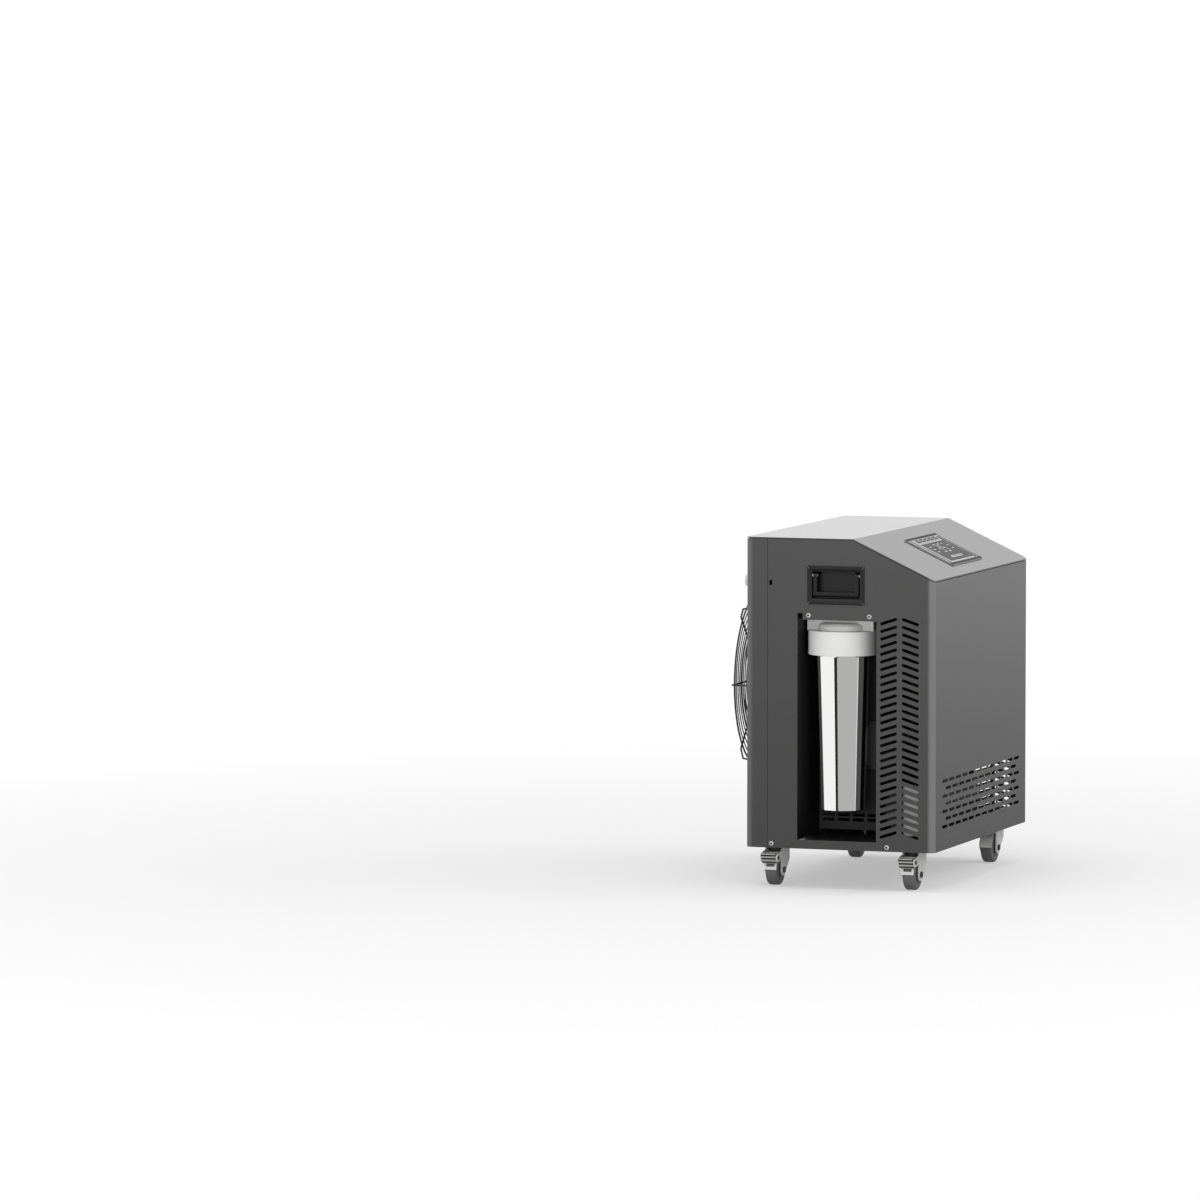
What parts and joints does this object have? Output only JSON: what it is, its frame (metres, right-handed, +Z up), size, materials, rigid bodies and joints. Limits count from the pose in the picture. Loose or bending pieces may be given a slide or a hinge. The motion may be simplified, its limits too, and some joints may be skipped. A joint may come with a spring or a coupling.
{
  "type": "ice bath chiller",
  "caption": "Water chiller on casters: sheet-metal case with louvres, sloping control panel, open water-filter bay, folding handles and a fan behind a wire guard.",
  "frame": {"origin": "on the floor, under the middle of the whole machine, fan guard and motor included", "axes": "+Z up, -Y towards the sloping control panel, -X towards the end with the filter bay"},
  "size_m": [0.5352, 0.388, 0.5695],
  "materials": {
    "case_coat": "fine-textured dark grey powder coat",
    "liner_coat": "fine-textured charcoal powder coat",
    "handle_black": "fine-grained moulded black",
    "filter_white": "moulded white",
    "sump_steel": "polished",
    "cartridge_white": "wound white",
    "seal_black": "moulded",
    "guard_black": "satin dark powder coat",
    "motor_grey": "satin dark grey enamel",
    "blade_black": "satin black",
    "fin_aluminium": "mill",
    "compressor_black": "gloss black enamel",
    "rubber_black": "moulded",
    "exchanger_grey": "extruded light grey",
    "pump_black": "moulded",
    "pipe_copper": "drawn copper",
    "hose_black": "smooth",
    "bezel_black": "moulded",
    "window_dark": "smoked",
    "key_grey": "moulded",
    "board_green": "coated",
    "port_white": "moulded",
    "socket_black": "moulded",
    "switch_black": "moulded",
    "screw_zinc": "zinc plated",
    "fork_zinc": "zinc plated",
    "stem_black": "moulded",
    "wheel_tyre": "moulded",
    "wheel_hub": "moulded",
    "pedal_black": "moulded"
  },
  "bodies": {
    "case": {"base_pan": "case_coat", "left_end_panel": "case_coat", "right_end_panel": "case_coat", "front_panel": "case_coat", "rear_panel": "case_coat", "top_cover": "case_coat", "filter_bay_liner": "liner_coat", "filter_bracket": "liner_coat", "filter_head": "filter_white", "handle_plates": "handle_black", "handle_pins": "screw_zinc", "fan_guard": "guard_black", "fan_motor": "motor_grey", "condenser": "fin_aluminium", "compressor": "compressor_black", "compressor_feet": "rubber_black", "heat_exchanger": "exchanger_grey", "water_pump": "pump_black", "refrigerant_pipes": "pipe_copper", "water_hoses": "hose_black", "control_bezel": "bezel_black", "display_window": "window_dark", "control_board": "board_green", "water_ports": "port_white", "power_inlet": "socket_black", "case_screws": "screw_zinc", "caster_stems": "stem_black"},
    "seal_ring": {"sump_seal": "seal_black"},
    "sump": {"filter_sump": "sump_steel", "filter_cartridge": "cartridge_white"},
    "left_bail": {"left_handle_bail": "handle_black"},
    "right_bail": {"right_handle_bail": "handle_black"},
    "fan": {"fan_blades": "blade_black"},
    "key_1_cap": {"key_1": "key_grey"},
    "key_2_cap": {"key_2": "key_grey"},
    "key_3_cap": {"key_3": "key_grey"},
    "key_4_cap": {"key_4": "key_grey"},
    "key_5_cap": {"key_5": "key_grey"},
    "rocker": {"power_switch": "switch_black"},
    "rear_left_caster": {"rear_left_fork": "fork_zinc", "rear_left_axle": "fork_zinc"},
    "rear_left_wheel": {"rear_left_tyre": "wheel_tyre", "rear_left_hub": "wheel_hub"},
    "rear_left_brake": {"rear_left_pedal": "pedal_black"},
    "front_left_caster": {"front_left_fork": "fork_zinc", "front_left_axle": "fork_zinc"},
    "front_left_wheel": {"front_left_tyre": "wheel_tyre", "front_left_hub": "wheel_hub"},
    "front_left_brake": {"front_left_pedal": "pedal_black"},
    "rear_right_caster": {"rear_right_fork": "fork_zinc", "rear_right_axle": "fork_zinc"},
    "rear_right_wheel": {"rear_right_tyre": "wheel_tyre", "rear_right_hub": "wheel_hub"},
    "front_right_caster": {"front_right_fork": "fork_zinc", "front_right_axle": "fork_zinc"},
    "front_right_wheel": {"front_right_tyre": "wheel_tyre", "front_right_hub": "wheel_hub"}
  },
  "joints": [
    {"name": "sump_drop", "type": "slide", "parent": "case", "child": "seal_ring", "axis": [0, 0, -1], "range_m": [0, 0.018]},
    {"name": "sump_turn", "type": "hinge", "parent": "seal_ring", "child": "sump", "pos_m": [-0.205, -0.0215, 0.2645], "axis": [0, 0, -1], "range_deg": [0, 1080]},
    {"name": "left_handle_fold", "type": "hinge", "parent": "case", "child": "left_bail", "pos_m": [-0.2615, -0.0273, 0.5095], "axis": [0, 1, 0], "range_deg": [0, 90]},
    {"name": "right_handle_fold", "type": "hinge", "parent": "case", "child": "right_bail", "pos_m": [0.2615, -0.0273, 0.5095], "axis": [0, -1, 0], "range_deg": [0, 90]},
    {"name": "fan_spin", "type": "hinge", "parent": "case", "child": "fan", "pos_m": [0, 0.131, 0.317], "axis": [0, 1, 0], "continuous": true},
    {"name": "key_1_press", "type": "slide", "parent": "case", "child": "key_1_cap", "axis": [0, 0.4226, -0.9063], "range_m": [0, 0.0008], "stiffness_N_per_m": 500, "springref_m": -0.002},
    {"name": "key_2_press", "type": "slide", "parent": "case", "child": "key_2_cap", "axis": [0, 0.4226, -0.9063], "range_m": [0, 0.0008], "stiffness_N_per_m": 500, "springref_m": -0.002},
    {"name": "key_3_press", "type": "slide", "parent": "case", "child": "key_3_cap", "axis": [0, 0.4226, -0.9063], "range_m": [0, 0.0008], "stiffness_N_per_m": 500, "springref_m": -0.002},
    {"name": "key_4_press", "type": "slide", "parent": "case", "child": "key_4_cap", "axis": [0, 0.4226, -0.9063], "range_m": [0, 0.0008], "stiffness_N_per_m": 500, "springref_m": -0.002},
    {"name": "key_5_press", "type": "slide", "parent": "case", "child": "key_5_cap", "axis": [0, 0.4226, -0.9063], "range_m": [0, 0.0008], "stiffness_N_per_m": 500, "springref_m": -0.002},
    {"name": "rocker_tip", "type": "hinge", "parent": "case", "child": "rocker", "pos_m": [0.2, 0.1232, 0.1715], "axis": [1, 0, 0], "range_deg": [0, 22]},
    {"name": "rear_left_swivel", "type": "hinge", "parent": "case", "child": "rear_left_caster", "pos_m": [-0.2196, 0.0876, 0.053], "axis": [0, 0, 1], "continuous": true},
    {"name": "rear_left_roll", "type": "hinge", "parent": "rear_left_caster", "child": "rear_left_wheel", "pos_m": [-0.2256, 0.0876, 0.025], "axis": [0, 1, 0], "continuous": true},
    {"name": "rear_left_brake_press", "type": "hinge", "parent": "rear_left_caster", "child": "rear_left_brake", "pos_m": [-0.2546, 0.0876, 0.047], "axis": [0, -1, 0], "range_deg": [0, 14]},
    {"name": "front_left_swivel", "type": "hinge", "parent": "case", "child": "front_left_caster", "pos_m": [-0.2196, -0.1456, 0.053], "axis": [0, 0, 1], "continuous": true},
    {"name": "front_left_roll", "type": "hinge", "parent": "front_left_caster", "child": "front_left_wheel", "pos_m": [-0.2256, -0.1456, 0.025], "axis": [0, 1, 0], "continuous": true},
    {"name": "front_left_brake_press", "type": "hinge", "parent": "front_left_caster", "child": "front_left_brake", "pos_m": [-0.2546, -0.1456, 0.047], "axis": [0, -1, 0], "range_deg": [0, 14]},
    {"name": "rear_right_swivel", "type": "hinge", "parent": "case", "child": "rear_right_caster", "pos_m": [0.2196, 0.0876, 0.053], "axis": [0, 0, 1], "continuous": true},
    {"name": "rear_right_roll", "type": "hinge", "parent": "rear_right_caster", "child": "rear_right_wheel", "pos_m": [0.2136, 0.0876, 0.025], "axis": [0, 1, 0], "continuous": true},
    {"name": "front_right_swivel", "type": "hinge", "parent": "case", "child": "front_right_caster", "pos_m": [0.2196, -0.1456, 0.053], "axis": [0, 0, 1], "continuous": true},
    {"name": "front_right_roll", "type": "hinge", "parent": "front_right_caster", "child": "front_right_wheel", "pos_m": [0.2136, -0.1456, 0.025], "axis": [0, 1, 0], "continuous": true}
  ],
  "couplings": [
    {"joint": "sump_drop", "follows": "sump_turn", "m_per_rad": 0.0009548}
  ]
}
